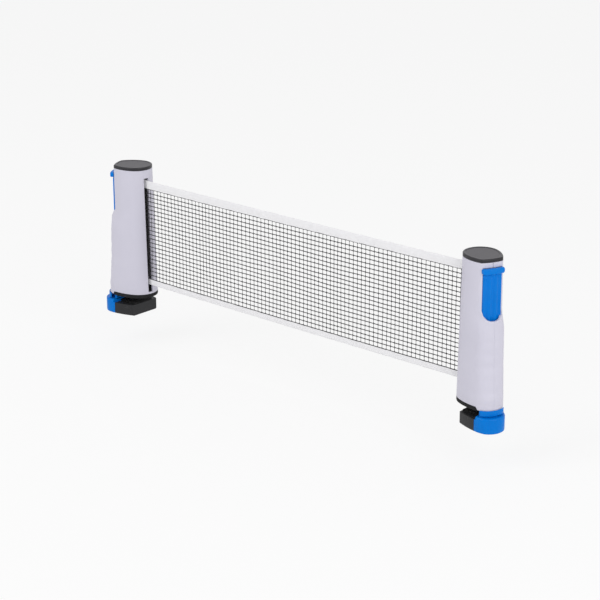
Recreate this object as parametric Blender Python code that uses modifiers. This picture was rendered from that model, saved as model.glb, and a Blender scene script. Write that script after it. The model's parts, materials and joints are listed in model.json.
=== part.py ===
"""Retractable table tennis net: two clamp posts joined by a net that winds onto a sprung reel.

Frame: metres, +Z up. The origin lies on the reel post's axis, in the plane of the table top that
its rubber base rests on. The net leaves the reel post along +X, in the plane y = 0.
Each post has a frame of its own: x outward from its axis through the middle of the grip face.
That face is turned about the axis by face_turn from the line of the net. The reel post is the
anchor post's mirror image.
"""
import bpy
import bmesh
from math import asin, cos, pi, radians, sin
from mathutils import Matrix, Vector

# posts
post_spacing = 0.540
post_height = 0.168
face_turn = radians(25)
back_centre = -0.003
back_radius = 0.020
corner_x = 0.0216
corner_y = 0.0126
face_bulge = 0.0018
corner_round = 0.0016
base_corner_round = 0.0050
base_growth = 0.0028
base_corner_growth = 0.0008
cavity_growth = 0.8
wall = 0.0022
channel_wall = 0.0020
cavity_face = 0.0125
fit_gap = 0.0003
# heights above the table
pad_thickness = 0.0045
housing_bottom = pad_thickness + fit_gap
skirt_bottom = 0.0014
cap_thickness = 0.0038
cap_bottom = post_height - cap_thickness
cap_spigot_depth = 0.0030
cap_edge = 0.0006
cap_rim_width = 0.0024
cap_rim_drop = 0.0004
base_plate_thickness = 0.0032
# grip below the window: how far the face stands out at each height
grip_profile = (
    (0.0, 0.0120), (0.012, 0.0116), (0.030, 0.0100),
    (0.052, 0.0084), (0.070, 0.0080), (0.105, 0.0066),
)
grip_corner_share = 0.62
grip_corner_fade = 0.024
grip_top = 0.1114
grip_step = 0.0028
grip_side_growth = 0.0012
wave_pitch = 0.0143
wave_depth = 0.00025
wave_crest = 0.071
wave_end = 0.088
under_step = 0.0106
below_cap = 0.0242
cavity_heights = (0.060, 0.120)
window_bottom = 0.1005
window_rise = 0.0100
window_squareness = 0.85
window_side_gap = 0.00015
channel_head_room = 0.0002
notch_step = 0.0002
window_head = 0.0058
window_top = cap_bottom - window_head
# slider and foot
slider_half_width = 0.0108
slider_clearance = 0.0004
slider_stand_out = 0.0020
slider_wall = 0.0018
slider_back_gap = 0.0005
slider_back = cavity_face + channel_wall + slider_back_gap
slider_curve = 0.041
slider_bottom = -0.0040
flute_depth = 0.0003
flute_count = 3
lip_top_gap = 0.0002
lip_height = 0.0060
lip_top = window_top - lip_top_gap
lip_bottom = lip_top - lip_height
lip_half_width = 0.0122
lip_stand_out = 0.0042
lip_face_gap = 0.0005
lip_lower_edge = 0.0011
lip_upper_edge = 0.0014
lip_end_share = 0.5
under_lip_gap = 0.0010
slider_top = lip_bottom - under_lip_gap
shelf_depth = 0.0030
shelf_side_inset = 0.0006
shelf_face_inset = 0.0008
shelf_back_inset = 0.0004
shelf_top_inset = 0.0002
web_face_inset = 0.0005
web_side_inset = 0.0004
web_depth = 0.0040
web_rise = 0.0020
neck_half_width = 0.0118
neck_top = 0.006
neck_stand_out = 0.0048
foot_top = -0.0060
foot_bottom = -0.024
foot_corner_x = 0.0308
foot_corner_y = 0.0142
foot_bulge = 0.0076
foot_corner_round = 0.0050
foot_edge = 0.0016
foot_growth = 0.0015
collar_top = 0.0036
collar_thickness = 0.0020
collar_clearance = 0.0005
collar_half_width = 0.0136
collar_groove = 0.0008
collar_start = 0.0245
close_travel = 0.007
open_travel = 0.040
# clamp
board_thickness = 0.008
table_edge = 0.0160
edge_clearance = 0.0005
jaw_pad_thickness = 0.0015
jaw_inner_end = -0.011
jaw_joint = 0.0130
jaw_pad_half_width = 0.0150
jaw_pad_inset = 0.0010
jaw_seat = -board_thickness - jaw_pad_thickness - fit_gap
# clamp spring
spring_seat_top = 0.085
spring_seat_height = 0.004
spring_seat_outer = 0.0215
spring_seat_half_width = 0.0055
spring_radius = 0.0026
spring_wire = 0.00045
spring_turns = 12
spring_axis_x = 0.0186
# net
slot_head = 0.0082
slot_top = cap_bottom - slot_head
slot_bottom = 0.0120
slot_width = 0.0030
slot_inner_reach = 0.008
net_top_gap = 0.0035
net_top = slot_top - net_top_gap
tape_top_height = 0.0099
net_bottom_gap = 0.0059
net_bottom = slot_bottom + net_bottom_gap
tape_bottom_height = 0.0072
tape_thickness = 0.0012
mesh_thickness = 0.0006
mesh_columns = 26
mesh_rows = 6
mesh_bar = 0.0012
end_bar_radius = 0.0022
end_bar_inset = 0.0135
net_start = 0.0165
# reel
spool_axis = -0.004
spool_radius = 0.006
spool_bore = 0.0049
flange_radius = 0.0150
flange_thickness = 0.0012
roll_radius = 0.0125
axle_radius = 0.0015
bush_radius = 0.0035
bush_flange_radius = 0.0048
lower_bush_rise = 0.0012
upper_bush_drop = 0.0010
bearing_plate_thickness = 0.0022
plate_face = 0.0035
plate_run_gap = 0.0012
spool_foot_room = 0.0041
spool_head = 0.0097
plate_low = housing_bottom + base_plate_thickness + fit_gap
spool_bottom = plate_low + bearing_plate_thickness + spool_foot_room
spool_top = cap_bottom - spool_head
plate_high = spool_top + plate_run_gap
return_spring_radius = 0.0036
return_spring_wire = 0.0004
return_spring_turns = 12
return_spring_inset = 0.004
# screws
screw_radius = 0.0013
screw_head_radius = 0.0023
screw_head_thickness = 0.0014
screw_tip = -0.0125
screw_head_seat = 0.0160
screw_head_overlap = 0.0004
boss_radius = 0.0027
boss_end = 0.0168
screw_x = 0.0075
lower_screw_height = 0.0113
upper_screw_drop = 0.0065
screw_heights = (lower_screw_height, cap_bottom - upper_screw_drop)
# cutters run past what they cut by cut_reach, and stop short of each other by cut_step
cut_reach = 0.060
cut_step = 0.001
window_cut_depth = 0.002
base_plate_gap = 0.00045


def clear_scene():
    for old in list(bpy.data.objects):
        bpy.data.objects.remove(old, do_unlink=True)
    for block in (bpy.data.meshes, bpy.data.curves, bpy.data.materials, bpy.data.collections):
        for item in list(block):
            block.remove(item)


def new_collection(name):
    made = bpy.data.collections.new(name)
    bpy.context.scene.collection.children.link(made)
    return made


def material(name, colour, roughness, metallic=0.0):
    made = bpy.data.materials.get(name)
    if made:
        return made
    made = bpy.data.materials.new(name)
    made.use_nodes = True
    shader = made.node_tree.nodes["Principled BSDF"]
    shader.inputs["Base Color"].default_value = (*colour, 1)
    shader.inputs["Roughness"].default_value = roughness
    shader.inputs["Metallic"].default_value = metallic
    return made


def shell_plastic():
    return material("shell_plastic", (0.62, 0.61, 0.71), 0.45)


def cap_plastic():
    return material("cap_plastic", (0.035, 0.034, 0.040), 0.38)


def slider_plastic():
    return material("slider_plastic", (0.0, 0.19, 0.68), 0.35)


def pad_rubber():
    return material("pad_rubber", (0.012, 0.012, 0.013), 0.80)


def dark_plastic():
    return material("dark_plastic", (0.02, 0.02, 0.022), 0.50)


def steel():
    return material("steel", (0.55, 0.56, 0.58), 0.30, 1.0)


def net_cord():
    return material("net_cord", (0.015, 0.015, 0.017), 0.80)


def tape_cloth():
    return material("tape_cloth", (0.80, 0.80, 0.84), 0.85)


# ---------- plan outlines, in a post's own frame ----------

def arc(centre, radius, start, end, steps):
    """Points along an arc, both ends included."""
    return [
        Vector((centre[0] + radius * cos(start + (end - start) * i / steps),
                centre[1] + radius * sin(start + (end - start) * i / steps)))
        for i in range(steps + 1)
    ]


def rounded(before, corner, after, steps=3):
    """A small curve that rounds a corner off."""
    return [
        (1 - t) ** 2 * before + 2 * t * (1 - t) * corner + t ** 2 * after
        for t in (i / steps for i in range(steps + 1))
    ]


def mirrored_outline(half):
    """A closed outline from its +y half, which starts and ends on y = 0."""
    return half + [Vector((p.x, -p.y)) for p in reversed(half[1:-1])]


def face_arc(apex, half_width, steps):
    """The outer face's curve, from the middle to +half_width."""
    end = asin(half_width / slider_curve)
    return arc((apex - slider_curve, 0), slider_curve, 0, end, steps)


def post_outline(grow=0.0, face_x=corner_x, face_y=corner_y, bulge=face_bulge, rounding=corner_round):
    """A round inner side, two flatter cheeks, two rounded corners and a faintly curved face."""
    corner = Vector((face_x, face_y))
    radius = back_radius + grow
    run = corner.x - back_centre
    drop = radius - corner.y
    cheek_radius = (run ** 2 + drop ** 2) / (2 * drop)
    cheek_end = asin(run / cheek_radius) - rounding / cheek_radius
    bulge_radius = (corner.y ** 2 + bulge ** 2) / (2 * bulge)
    face_end = asin(corner.y / bulge_radius) - rounding / bulge_radius
    face = arc((corner.x + bulge - bulge_radius, 0), bulge_radius, 0, face_end, 4)
    cheek = arc((back_centre, radius - cheek_radius), cheek_radius, pi / 2 - cheek_end, pi / 2, 5)
    back = arc((back_centre, 0), radius, pi / 2, pi, 9)
    return mirrored_outline(face[:-1] + rounded(face[-1], corner, cheek[0]) + cheek[1:] + back[1:])


def inset_outline(inset):
    return post_outline(-inset, corner_x - inset, corner_y - inset)


def cavity_outline(grow=0.0, flat=cavity_face):
    """The space inside the walls, shut on the outer side by the channel's flat wall."""
    corner = Vector((corner_x, corner_y))
    radius = back_radius - wall + grow
    run = corner.x - back_centre
    drop = back_radius - corner.y
    cheek_radius = (run ** 2 + drop ** 2) / (2 * drop)
    cheek_end = asin((flat - back_centre) / cheek_radius)
    cheek = arc((back_centre, radius - cheek_radius), cheek_radius, pi / 2 - cheek_end, pi / 2, 5)
    back = arc((back_centre, 0), radius, pi / 2, pi, 9)
    middle = [Vector((flat, cheek[0].y * i / 7)) for i in range(7)]
    return mirrored_outline(middle + cheek + back[1:])


def grip_stand_out(z):
    """How far the grip stands out past the window's face at height z: its middle, its corners."""
    knots = grip_profile
    low, high = knots[0], knots[-1]
    for a, b in zip(knots, knots[1:]):
        if a[0] <= z <= b[0]:
            low, high = a, b
    t = min(max((z - low[0]) / (high[0] - low[0]), 0), 1)
    t = t * t * (3 - 2 * t)
    out = low[1] + (high[1] - low[1]) * t
    if z < wave_end:
        out += wave_depth * cos(2 * pi * (z - wave_crest) / wave_pitch)
    step = min(max((grip_top - z) / grip_step, 0), 1)
    fade = min(max((grip_top - z) / grip_corner_fade, 0), 1)
    return out * step, out * grip_corner_share * fade * fade * (3 - 2 * fade)


def housing_plan(z, extra=0.0):
    """The housing's outline at height z, grown by extra."""
    taper = 1 - z / cap_bottom
    out, corner_out = grip_stand_out(z)
    side = grip_side_growth * min(corner_out / (grip_profile[-1][1] * grip_corner_share), 1)
    return post_outline(base_growth * taper + extra, corner_x + corner_out + extra,
                        corner_y + side + base_corner_growth * taper + extra, face_bulge + out - corner_out,
                        corner_round + (base_corner_round - corner_round) * taper)


def flat_ring(plan, z):
    return [Vector((p.x, p.y, z)) for p in plan]


# ---------- mesh and object helpers ----------

def loft(rings):
    """A closed solid through rings of equal length, lowest first, each ring anticlockwise."""
    bm = bmesh.new()
    rows = [[bm.verts.new(p) for p in ring] for ring in rings]
    count = len(rings[0])
    for low, high in zip(rows, rows[1:]):
        for i in range(count):
            j = (i + 1) % count
            bm.faces.new((low[i], low[j], high[j], high[i]))
    bm.faces.new(list(reversed(rows[0])))
    bm.faces.new(rows[-1])
    return bm


def prism(plan, z0, z1):
    return loft([flat_ring(plan, z0), flat_ring(plan, z1)])


def box(x0, x1, y0, y1, z0, z1):
    bm = bmesh.new()
    bmesh.ops.create_cube(bm, size=1)
    bmesh.ops.scale(bm, vec=(x1 - x0, y1 - y0, z1 - z0), verts=bm.verts)
    bmesh.ops.translate(bm, vec=((x0 + x1) / 2, (y0 + y1) / 2, (z0 + z1) / 2), verts=bm.verts)
    return bm


def rod(radius, z0, z1, x=0.0, y=0.0, sides=20):
    bm = bmesh.new()
    bmesh.ops.create_cone(bm, cap_ends=True, segments=sides, radius1=radius, radius2=radius, depth=z1 - z0)
    bmesh.ops.translate(bm, vec=(x, y, (z0 + z1) / 2), verts=bm.verts)
    return bm


def turned_to_net(bm):
    """Turns a mesh drawn along the net's line into the post's own frame."""
    bmesh.ops.rotate(bm, cent=(0, 0, 0), matrix=Matrix.Rotation(face_turn, 3, "Z"), verts=bm.verts)
    return bm


def add_mesh(name, bm, parent, finish=None, smooth=None):
    """Puts a mesh in the scene under its post's empty. The reel post's meshes are mirrored."""
    if parent.get("mirrored"):
        bmesh.ops.scale(bm, vec=(-1, 1, 1), verts=bm.verts)
    bmesh.ops.recalc_face_normals(bm, faces=bm.faces)
    mesh = bpy.data.meshes.new(name)
    bm.to_mesh(mesh)
    bm.free()
    made = bpy.data.objects.new(name, mesh)
    made.parent = parent
    if finish is None:
        cutters.objects.link(made)
        made.hide_render = True
        made.display_type = "WIRE"
    else:
        collection.objects.link(made)
        mesh.materials.append(finish)
    if smooth:
        mesh.shade_smooth()
        mesh.set_sharp_from_angle(angle=radians(smooth))
    return made


def boolean(target, tool, operation="DIFFERENCE"):
    step = target.modifiers.new(tool.name, "BOOLEAN")
    step.operation = operation
    step.solver = "EXACT"
    step.object = tool


def turned(name, profile, parent, finish, x=0.0, steps=24):
    """A turned piece about a vertical axis. The profile runs down its outer side."""
    mesh = bpy.data.meshes.new(name)
    edges = [(i, (i + 1) % len(profile)) for i in range(len(profile))]
    mesh.from_pydata([(r, 0, z) for r, z in profile], edges, [])
    made = bpy.data.objects.new(name, mesh)
    collection.objects.link(made)
    made.parent = parent
    made.location.x = x
    mesh.materials.append(finish)
    screw = made.modifiers.new("turn", "SCREW")
    screw.steps = steps
    screw.render_steps = steps
    screw.use_merge_vertices = True
    screw.merge_threshold = 0.00001
    screw.use_smooth_shade = False
    return made


def ring_profile(inner, outer, z0, z1):
    return [(outer, z1), (outer, z0), (inner, z0), (inner, z1)]


def coil(name, radius, wire, turns, z0, z1, x, parent, finish, points=8):
    """A helical spring about a vertical axis at x in its parent's frame."""
    side = -1 if parent.get("mirrored") else 1
    curve = bpy.data.curves.new(name, "CURVE")
    curve.dimensions = "3D"
    curve.bevel_depth = wire
    curve.bevel_resolution = 1
    curve.use_fill_caps = True
    spline = curve.splines.new("POLY")
    total = turns * points
    spline.points.add(total)
    rise = (z1 - z0 - 2 * wire) / total
    for i in range(total + 1):
        turn = side * 2 * pi * i / points
        spline.points[i].co = (radius * cos(turn), radius * sin(turn), z0 + wire + rise * i, 1)
    made = bpy.data.objects.new(name, curve)
    collection.objects.link(made)
    made.parent = parent
    made.location.x = side * x
    curve.materials.append(finish)
    gap = (z1 - z0 - 2 * wire) / turns - 2 * wire
    print(f"{name}: least gap between turns {gap * 1000:.2f} mm")


def empty(name, location=(0, 0, 0), turn=0.0, parent=None, mirrored=False):
    made = bpy.data.objects.new(name, None)
    collection.objects.link(made)
    made.location = location
    made.rotation_euler.z = turn
    made.parent = parent
    if mirrored:
        made["mirrored"] = True
    return made


# ---------- the housing of a post ----------

def cavity_widening(z):
    """How far the cavity has grown at height z, as the housing widens towards its base."""
    return base_growth * cavity_growth * (1 - z / cap_bottom)


def channel_plan(half_width, apex, back):
    """The slider's channel: flat back and sides, and a curved front."""
    half = face_arc(apex, half_width, 4) + [Vector((back, half_width)), Vector((back, 0))]
    return mirrored_outline(half)


def window_cutter(post, tag):
    """An opening with a U-shaped lower edge in front of the channel."""
    half_width = slider_half_width + slider_clearance + window_side_gap
    steps = 14
    turns = [pi * i / steps for i in range(steps + 1)]
    lower = [
        (-half_width * abs(cos(a)) ** window_squareness * (1 if cos(a) > 0 else -1),
         window_bottom + window_rise * (1 - sin(a) ** window_squareness))
        for a in turns
    ]
    outline = lower + [(half_width, window_top), (-half_width, window_top)]
    near, far = corner_x - window_cut_depth, corner_x + cut_reach
    bm = loft([[Vector((x, y, z)) for y, z in outline] for x in (near, far)])
    return add_mesh(tag + "_window_cutter", bm, post)


def housing_heights():
    """Close together where the grip has its finger waves and its step, far apart elsewhere."""
    waves = 13
    low = [housing_bottom + (wave_end - housing_bottom) * i / waves for i in range(waves + 1)]
    step_bottom = grip_top - grip_step
    high = [step_bottom - under_step, step_bottom, grip_top, cap_bottom - below_cap, cap_bottom - fit_gap]
    return [skirt_bottom] + low + high


def split_cutter(post, tag, back):
    """Everything behind (or before) the seam, which bends at the axis from the face's middle
    to the net slot."""
    reach = cut_reach
    half = fit_gap / 2 if back else -fit_gap / 2
    slot_way = Vector((-cos(face_turn), -sin(face_turn)))
    slot_side = Vector((-slot_way.y, slot_way.x)) * -half
    start = Vector((reach, -half))
    middle = Vector((0, -half))
    end = slot_way * reach + slot_side
    if back:
        plan = [start, Vector((reach, reach)), Vector((-reach, reach)), end, middle]
    else:
        plan = [start, middle, end, Vector((-reach, -reach)), Vector((reach, -reach))]
    return add_mesh(tag, prism(plan, -reach, post_height + reach), post)


def build_housing(side, post):
    """Front shell and back shell, cut from one hollow form."""
    cavity_rings = []
    for z in (skirt_bottom - cut_step, *cavity_heights, cap_bottom + cut_step):
        cavity_rings.append(flat_ring(cavity_outline(cavity_widening(z)), z))
    cavity = add_mesh(side + "_cavity_cutter", loft(cavity_rings), post)
    half_width = slider_half_width + slider_clearance
    apex = corner_x + face_bulge + slider_stand_out + slider_clearance
    channel_back = cavity_face + channel_wall
    channel_bm = prism(channel_plan(half_width, apex, channel_back), skirt_bottom - 2 * cut_step,
                       window_top + channel_head_room)
    channel = add_mesh(side + "_channel_cutter", channel_bm, post)
    notch_apex = corner_x + face_bulge + neck_stand_out + slider_clearance
    notch_plan = channel_plan(neck_half_width + slider_clearance, notch_apex, channel_back + notch_step)
    notch_bm = prism(notch_plan, skirt_bottom - 3 * cut_step, neck_top + close_travel + slider_clearance)
    notch = add_mesh(side + "_neck_notch_cutter", notch_bm, post)
    window = window_cutter(post, side)
    slot_box = box(-cut_reach, -slot_inner_reach, -slot_width / 2, slot_width / 2, slot_bottom, slot_top)
    slot = add_mesh(side + "_net_slot_cutter", turned_to_net(slot_box), post)
    over_table = table_edge_cutter(side + "_over_table_cutter", post, table_edge + edge_clearance,
                                   -cut_reach, housing_bottom)
    for label, back in (("back_shell", True), ("front_shell", False)):
        outside = loft([flat_ring(housing_plan(z), z) for z in housing_heights()])
        shell = add_mesh(f"{side}_{label}", outside, post, shell_plastic(), 35)
        for tool in (cavity, channel, notch, window, slot, over_table):
            boolean(shell, tool)
        boolean(shell, split_cutter(post, f"{side}_{label}_seam", not back))
        for index, height in enumerate(screw_heights):
            add_screw_boss(shell, f"{side}_{label}_{index}", post, height, back)


def cross_rod(radius, y0, y1, z, sides=14):
    """A rod along the post's y axis, at the screws' place."""
    bm = bmesh.new()
    bmesh.ops.create_cone(bm, cap_ends=True, segments=sides, radius1=radius, radius2=radius, depth=y1 - y0)
    bmesh.ops.rotate(bm, cent=(0, 0, 0), matrix=Matrix.Rotation(pi / 2, 3, "X"), verts=bm.verts)
    bmesh.ops.translate(bm, vec=(screw_x, (y0 + y1) / 2, z), verts=bm.verts)
    return bm


def add_screw_boss(shell, name, post, z, back):
    """A boss inside the shell and the hole through it, with a sunk seat in the back shell."""
    end = boss_end + cavity_widening(z)
    reach = (fit_gap / 2, end) if back else (-end, -fit_gap / 2)
    boolean(shell, add_mesh(name + "_boss", cross_rod(boss_radius, *reach, z), post), "UNION")
    hole = cross_rod(screw_radius + fit_gap, screw_tip - fit_gap, cut_reach, z)
    boolean(shell, add_mesh(name + "_hole", hole, post))
    if back:
        seat = cross_rod(screw_head_radius + fit_gap, screw_head_seat - fit_gap, cut_reach, z)
        boolean(shell, add_mesh(name + "_head_seat", seat, post))


def build_screw(name, post, z):
    """A cap screw along the post's y axis, its head sunk in the back shell."""
    shank = cross_rod(screw_radius, screw_tip, screw_head_seat + screw_head_overlap, z)
    screw = add_mesh(name, shank, post, steel(), 40)
    head = cross_rod(screw_head_radius, screw_head_seat, screw_head_seat + screw_head_thickness, z)
    boolean(screw, add_mesh(name + "_head", head, post), "UNION")


def build_cap(side, post):
    """A black cap with a spigot inside the shells and a raised rim."""
    rings = [
        flat_ring(cavity_outline(-fit_gap, cavity_face - fit_gap), cap_bottom - cap_spigot_depth),
        flat_ring(cavity_outline(-fit_gap, cavity_face - fit_gap), cap_bottom),
        flat_ring(post_outline(), cap_bottom),
        flat_ring(post_outline(), post_height - cap_edge),
        flat_ring(inset_outline(cap_edge), post_height),
        flat_ring(inset_outline(cap_rim_width), post_height),
        flat_ring(inset_outline(cap_rim_width + cap_rim_drop), post_height - cap_rim_drop),
    ]
    add_mesh(side + "_top_cap", loft(rings), post, cap_plastic(), 35)


def table_edge_cutter(name, post, limit, z0, z1):
    """Everything on the table's side of a plane parallel to its edge."""
    return add_mesh(name, turned_to_net(box(-cut_reach, limit, -cut_reach, cut_reach, z0, z1)), post)


def build_base(side, post):
    """The plate that shuts the housing and the rubber pad below it."""
    plate_plan = cavity_outline(cavity_widening(housing_bottom) - base_plate_gap, cavity_face - fit_gap)
    plate = prism(plate_plan, housing_bottom, housing_bottom + base_plate_thickness)
    add_mesh(side + "_base_plate", plate, post, dark_plastic(), 35)
    pad_form = prism(housing_plan(housing_bottom), 0.0, pad_thickness)
    pad = add_mesh(side + "_base_pad", pad_form, post, pad_rubber(), 35)
    beyond = turned_to_net(box(table_edge, cut_reach, -cut_reach, cut_reach, -cut_reach, cut_reach))
    boolean(pad, add_mesh(side + "_pad_edge_cutter", beyond, post))


# ---------- the clamp ----------

def full_face(apex, half_width, steps):
    """The outer face's curve, from -half_width to +half_width."""
    curve = face_arc(apex, half_width, steps)
    return [Vector((p.x, -p.y)) for p in reversed(curve[1:])] + curve


def fluted_face(apex, half_width, steps):
    """The slider's face: a shallow curve with upright flutes."""
    full = full_face(apex, half_width, steps)
    for p in full:
        t = p.y / half_width
        p.x -= flute_depth * (0.5 - 0.5 * cos(pi * flute_count * (t + 1)))
    return full


def slider_section():
    """A U section, open towards the post's axis."""
    apex = corner_x + face_bulge + slider_stand_out
    outer = fluted_face(apex, slider_half_width, 9)
    inside = slider_half_width - slider_wall
    inner = full_face(apex - slider_wall - flute_depth, inside, 3)
    left_wall = [Vector((slider_back, slider_half_width)), Vector((slider_back, inside))]
    right_wall = [Vector((slider_back, -inside)), Vector((slider_back, -slider_half_width))]
    return outer + left_wall + list(reversed(inner)) + right_wall


def band_plan(near, far, half_width, steps=6):
    """A curved band between two faces of the same curve."""
    return full_face(far, half_width, steps) + list(reversed(full_face(near, half_width, steps)))


def build_slider(side, post):
    """Thumb lip, fluted body, neck and foot, moulded as one piece."""
    face = corner_x + face_bulge
    stand_out = face + slider_stand_out
    body_form = prism(slider_section(), slider_bottom, slider_top)
    body = add_mesh(side + "_clamp_slider", body_form, post, slider_plastic(), 35)
    shelf_plan = channel_plan(slider_half_width - shelf_side_inset, stand_out - shelf_face_inset,
                              slider_back + shelf_back_inset)
    shelf_form = prism(shelf_plan, slider_top - shelf_depth, slider_top - shelf_top_inset)
    shelf = add_mesh(side + "_shelf_form", shelf_form, post)
    web_plan = band_plan(face + lip_face_gap, stand_out - web_face_inset, slider_half_width - web_side_inset)
    web = add_mesh(side + "_web_form", prism(web_plan, slider_top - web_depth, lip_bottom + web_rise), post)
    lip = add_mesh(side + "_lip_form", lip_loft(face), post)
    neck_plan = channel_plan(neck_half_width, face + neck_stand_out, slider_back)
    neck = add_mesh(side + "_neck_form", prism(neck_plan, foot_top - cut_step, neck_top), post)
    foot = add_mesh(side + "_foot_form", foot_loft(), post)
    collar = build_collar_form(side, post)
    for form in (shelf, web, lip, neck, foot, collar):
        boolean(body, form, "UNION")
    boolean(body, table_edge_cutter(side + "_table_cutter", post, table_edge + edge_clearance, jaw_seat,
                                    neck_top + open_travel))
    boolean(body, table_edge_cutter(side + "_jaw_cutter", post, jaw_joint, -cut_reach, jaw_seat + cut_step))


def lip_loft(face):
    """The thumb lip: a curved ledge with its edges eased."""
    levels = ((lip_bottom, lip_lower_edge), (lip_bottom + lip_lower_edge, 0.0),
              (lip_top - lip_upper_edge, 0.0), (lip_top, lip_upper_edge))
    rings = []
    for z, inset in levels:
        half_width = lip_half_width - lip_end_share * inset
        rings.append(flat_ring(band_plan(face + lip_face_gap, face + lip_stand_out - inset, half_width), z))
    return loft(rings)


def foot_loft():
    """The rounded D of the foot, which the jaw block carries on under the table."""
    rings = []
    levels = ((foot_bottom, -foot_edge), (foot_bottom + foot_edge, 0.0), (foot_top - foot_edge, 0.0),
              (foot_top, -foot_edge))
    for z, grow in levels:
        plan = post_outline(foot_growth + grow, foot_corner_x + grow, foot_corner_y + grow, foot_bulge,
                            foot_corner_round)
        rings.append(flat_ring(plan, z))
    return loft(rings)


def build_collar_form(side, post):
    """A band that rises from the foot in front of the grip's lower edge, over a groove."""
    outer = collar_clearance + collar_thickness
    inner = outer - collar_groove
    rings = []
    for z, extra in ((foot_top - foot_edge, inner), (foot_top + collar_groove, inner),
                     (foot_top + 2 * collar_groove, outer), (collar_top - collar_groove, outer),
                     (collar_top, inner)):
        rings.append(flat_ring(housing_plan(skirt_bottom, extra), z))
    collar = add_mesh(side + "_collar_form", loft(rings), post)
    room_bottom = skirt_bottom - close_travel - fit_gap
    room = prism(housing_plan(skirt_bottom, collar_clearance), room_bottom, cut_reach)
    boolean(collar, add_mesh(side + "_collar_room", room, post))
    width = box(collar_start, cut_reach, -collar_half_width, collar_half_width, -cut_reach, cut_reach)
    boolean(collar, add_mesh(side + "_collar_width", width, post), "INTERSECT")
    return collar


def build_jaw(side, post):
    """The black jaw block on the foot's inner end, and the rubber pad on both."""
    block = add_mesh(side + "_jaw_block", foot_loft(), post, dark_plastic(), 35)
    room = box(jaw_inner_end, jaw_joint - fit_gap, -cut_reach, cut_reach, -cut_reach, jaw_seat)
    boolean(block, add_mesh(side + "_jaw_room", turned_to_net(room), post), "INTERSECT")
    pad = box(jaw_inner_end + jaw_pad_inset, table_edge, -jaw_pad_half_width, jaw_pad_half_width,
              -board_thickness - jaw_pad_thickness, -board_thickness)
    add_mesh(side + "_jaw_pad", turned_to_net(pad), post, pad_rubber())


def build_spring(side, post):
    """The spring that lifts the slider, standing on a seat fixed in the channel."""
    seat = box(cavity_face + channel_wall + fit_gap, spring_seat_outer, -spring_seat_half_width,
               spring_seat_half_width, spring_seat_top - spring_seat_height, spring_seat_top)
    add_mesh(side + "_spring_seat", seat, post, dark_plastic())
    coil(side + "_clamp_spring", spring_radius, spring_wire, spring_turns, spring_seat_top + fit_gap,
         slider_top - shelf_depth - fit_gap, spring_axis_x, post, steel())


def build_post(side, post):
    build_housing(side, post)
    build_cap(side, post)
    build_base(side, post)
    build_slider(side, post)
    build_jaw(side, post)
    build_spring(side, post)
    for label, height in zip(("lower", "upper"), screw_heights):
        build_screw(f"{side}_{label}_shell_screw", post, height)


def mirror_post(anchor_post, reel_post):
    """The reel post's housing and clamp are the anchor post's, mirrored."""
    bpy.context.view_layer.update()
    graph = bpy.context.evaluated_depsgraph_get()
    for source in [made for made in collection.objects if made.parent == anchor_post]:
        mesh = bpy.data.meshes.new_from_object(source.evaluated_get(graph))
        bm = bmesh.new()
        bm.from_mesh(mesh)
        bmesh.ops.scale(bm, vec=(-1, 1, 1), verts=bm.verts)
        bmesh.ops.reverse_faces(bm, faces=bm.faces)
        bm.to_mesh(mesh)
        bm.free()
        copy = bpy.data.objects.new(source.name.replace("anchor", "reel"), mesh)
        copy.parent = reel_post
        copy.location.x = -source.location.x
        collection.objects.link(copy)


# ---------- the reel and the net's end ----------

def build_reel(post):
    """The sprung spool that takes the net up, and what carries it."""
    x = -spool_axis
    rotor = empty("reel_axis", (x, 0, 0), 0.0, post)
    tube = ring_profile(spool_bore, spool_radius, spool_bottom, spool_top)
    turned("spool_tube", tube, rotor, dark_plastic())
    hub = spool_radius + fit_gap
    roll_low = spool_bottom + flange_thickness
    roll_high = spool_top - flange_thickness
    for label, z0, z1 in (("lower", spool_bottom, roll_low), ("upper", roll_high, spool_top)):
        turned(f"spool_{label}_flange", ring_profile(hub, flange_radius, z0, z1), rotor, dark_plastic())
    roll = ring_profile(hub, roll_radius, roll_low + fit_gap, roll_high - fit_gap)
    turned("wound_net", roll, rotor, net_cord(), steps=28)
    bore = axle_radius + fit_gap
    for label, z0 in (("lower", plate_low), ("upper", plate_high)):
        z1 = z0 + bearing_plate_thickness
        plate_form = prism(cavity_outline(-fit_gap, plate_face), z0, z1)
        plate = add_mesh(f"{label}_bearing_plate", plate_form, post, dark_plastic(), 35)
        hole = rod(bush_radius + fit_gap, z0 - cut_step, z1 + cut_step, spool_axis)
        boolean(plate, add_mesh(f"{label}_bearing_hole", hole, post))
        if label == "lower":
            seat, face = z1 + fit_gap, z1 + lower_bush_rise
            profile = [(bush_flange_radius, face), (bush_flange_radius, seat), (bush_radius, seat),
                       (bush_radius, z0), (bore, z0), (bore, face)]
        else:
            seat, face = z0 - fit_gap, z0 - upper_bush_drop
            profile = [(bush_radius, z1), (bush_radius, seat), (bush_flange_radius, seat),
                       (bush_flange_radius, face), (bore, face), (bore, z1)]
        turned(f"{label}_bush", profile, post, steel(), x, 20)
    axle = rod(axle_radius, plate_low, plate_high + bearing_plate_thickness, spool_axis, sides=16)
    add_mesh("reel_axle", axle, post, steel(), 40)
    coil("return_spring", return_spring_radius, return_spring_wire, return_spring_turns,
         spool_bottom + return_spring_inset, spool_top - return_spring_inset, spool_axis, post, steel())


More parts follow.
